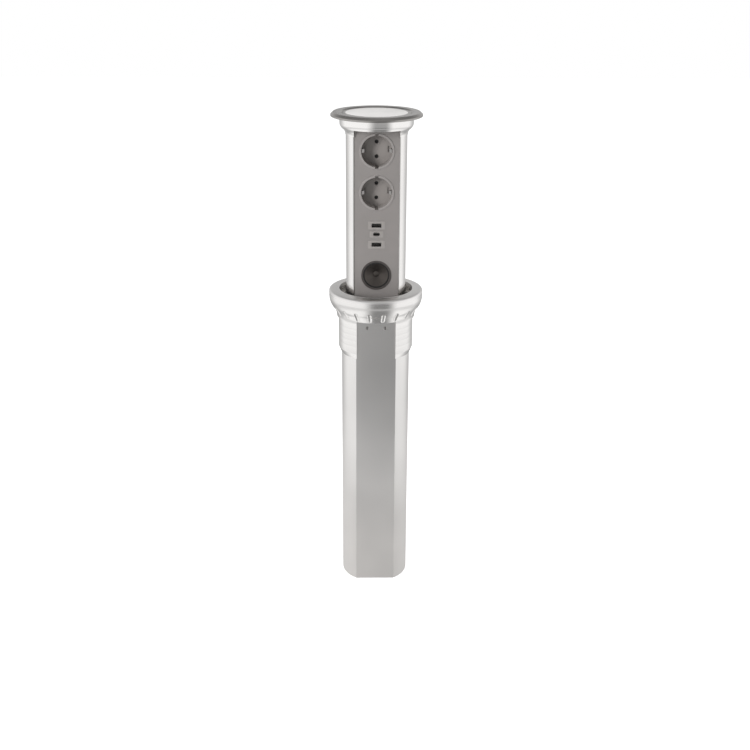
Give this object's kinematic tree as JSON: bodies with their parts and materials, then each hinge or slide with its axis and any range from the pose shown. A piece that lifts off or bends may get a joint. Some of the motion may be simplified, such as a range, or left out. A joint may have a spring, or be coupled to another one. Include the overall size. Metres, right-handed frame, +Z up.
{
  "type": "pop up desk socket",
  "caption": "Pop up desk power tower that slides up out of a round collar, with mains sockets, USB ports, a small speaker and a wireless charging top.",
  "frame": {"origin": "on the tower's axis, at the underside of the mounting collar, where the neck enters the hole in the desk", "axes": "+Z up along the tower, -Y out of the front panel, +X to the right of someone facing the panel"},
  "size_m": [0.126, 0.126, 0.664],
  "materials": {
    "satin_metal": "satin turned aluminium",
    "silver_tube": "bright anodised aluminium tube",
    "bright_metal": "polished aluminium",
    "rim_metal": "fine brushed, darker than the tower",
    "dark_metal": "black, satin",
    "cone_metal": "dark grey with fine turned rings",
    "dark_steel": "blackened steel",
    "screw_steel": "zinc plated steel",
    "port_steel": "plain steel strip",
    "brass": "plain brass",
    "copper": "enamelled copper winding",
    "ferrite": "dark sintered ferrite",
    "circuit_board": "green glass-fibre board",
    "component_black": "moulded electronic parts",
    "black_plastic": "moulded, fine texture",
    "insulator_white": "moulded insulator",
    "panel_grey": "flat mid-grey front",
    "socket_grey": "grey moulded cup",
    "socket_ring": "light silver-grey ring",
    "bezel_grey": "light grey bezel",
    "pad_white": "pale satin pad",
    "black_rubber": "soft black rubber"
  },
  "bodies": {
    "desk_unit": {"mounting_collar": "satin_metal", "collar_grub_screw": "dark_steel", "threaded_neck": "satin_metal", "outer_sleeve": "silver_tube", "sleeve_screws": "screw_steel", "guide_bush": "black_plastic", "wiper_ring": "black_rubber", "brake_ring": "black_rubber", "brake_retainer": "black_plastic", "retainer_screws": "screw_steel", "bottom_cap": "silver_tube", "bottom_cap_screws": "screw_steel", "cable_grommet": "black_rubber"},
    "tower": {"amplifier_board": "circuit_board", "board_screws": "screw_steel", "cap_rim": "rim_metal", "charging_board": "circuit_board", "charging_coil": "copper", "charging_pad": "pad_white", "coil_carrier": "black_plastic", "earth_busbar": "brass", "ferrite_disc": "ferrite", "foot_grommet": "black_rubber", "foot_screws": "screw_steel", "front_panel": "panel_grey", "live_busbar": "brass", "lower_contact_carrier": "insulator_white", "lower_earth_bracket": "port_steel", "lower_pin_contacts": "brass", "lower_socket_body": "socket_grey", "lower_socket_ring": "socket_ring", "neck_screws": "screw_steel", "neutral_busbar": "brass", "pad_trim_ring": "rim_metal", "rim_screws": "screw_steel", "socket_screws": "screw_steel", "speaker_basket": "dark_metal", "speaker_cone": "cone_metal", "speaker_dust_cap": "cone_metal", "speaker_magnet": "ferrite", "speaker_surround": "black_rubber", "terminal_block": "insulator_white", "terminal_cover": "black_plastic", "top_neck": "bright_metal", "tower_foot": "black_plastic", "tower_shell": "silver_tube", "upper_contact_carrier": "insulator_white", "upper_earth_bracket": "port_steel", "upper_pin_contacts": "brass", "upper_socket_body": "socket_grey", "upper_socket_ring": "socket_ring", "usb_bezels": "bezel_grey", "usb_board": "circuit_board", "usb_power_parts": "component_black", "usb_shells": "port_steel", "usb_tongues": "black_plastic", "voice_coil": "copper"},
    "upper_shutter": {"upper_shutter": "black_plastic"},
    "lower_shutter": {"lower_shutter": "black_plastic"}
  },
  "joints": [
    {"name": "tower_slide", "type": "slide", "parent": "desk_unit", "child": "tower", "axis": [0, 0, 1], "range_m": [-0.2264, 0]},
    {"name": "upper_shutter_turn", "type": "hinge", "parent": "tower", "child": "upper_shutter", "pos_m": [0, -0.0042, 0.2254], "axis": [0, 1, 0], "range_deg": [0, 38], "stiffness_Nm_per_rad": 0.003, "springref_deg": -20.05},
    {"name": "lower_shutter_turn", "type": "hinge", "parent": "tower", "child": "lower_shutter", "pos_m": [0, -0.0042, 0.1717], "axis": [0, 1, 0], "range_deg": [0, 38], "stiffness_Nm_per_rad": 0.003, "springref_deg": -20.05}
  ]
}
